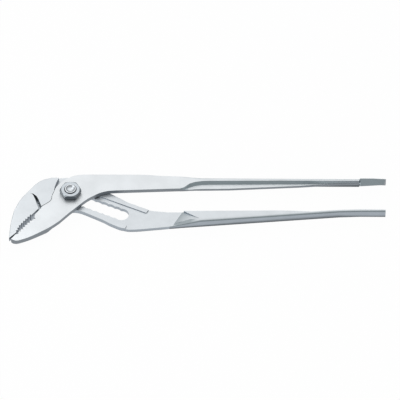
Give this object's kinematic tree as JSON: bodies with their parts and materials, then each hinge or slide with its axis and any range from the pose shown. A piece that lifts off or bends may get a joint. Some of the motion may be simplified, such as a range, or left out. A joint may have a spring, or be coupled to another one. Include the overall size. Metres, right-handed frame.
{
  "type": "water pump pliers",
  "caption": "Long plated steel water pump pliers: an angled toothed jaw on each arm, a slotted rear arm and a front arm clamped on it by a bolt and hexagon nut.",
  "frame": {"origin": "middle of the bolt head's flat back face, on the pivot axis", "axes": "+X from the pivot towards the handle ends, +Y from the lower handle towards the upper one, +Z along the pivot towards the nut"},
  "size_m": [0.3799, 0.0853, 0.0197],
  "materials": {
    "slotted_arm": "satin nickel plating on forged steel",
    "jaw_arm": "satin nickel plating on forged steel",
    "pivot_bolt": "plated steel",
    "pivot_nut": "plated steel"
  },
  "bodies": {
    "rear_arm": {"slotted_arm": "slotted_arm"},
    "pivot": {"pivot_bolt": "pivot_bolt", "pivot_nut": "pivot_nut"},
    "front_arm": {"jaw_arm": "jaw_arm"}
  },
  "joints": [
    {"name": "slot_adjustment", "type": "slide", "parent": "rear_arm", "child": "pivot", "axis": [0.91, -0.4147, 0], "range_m": [0, 0.0568]},
    {"name": "jaw_hinge", "type": "hinge", "parent": "pivot", "child": "front_arm", "pos_m": [0, 0, 0.0109], "axis": [0, 0, 1], "range_deg": [0, 40]}
  ]
}
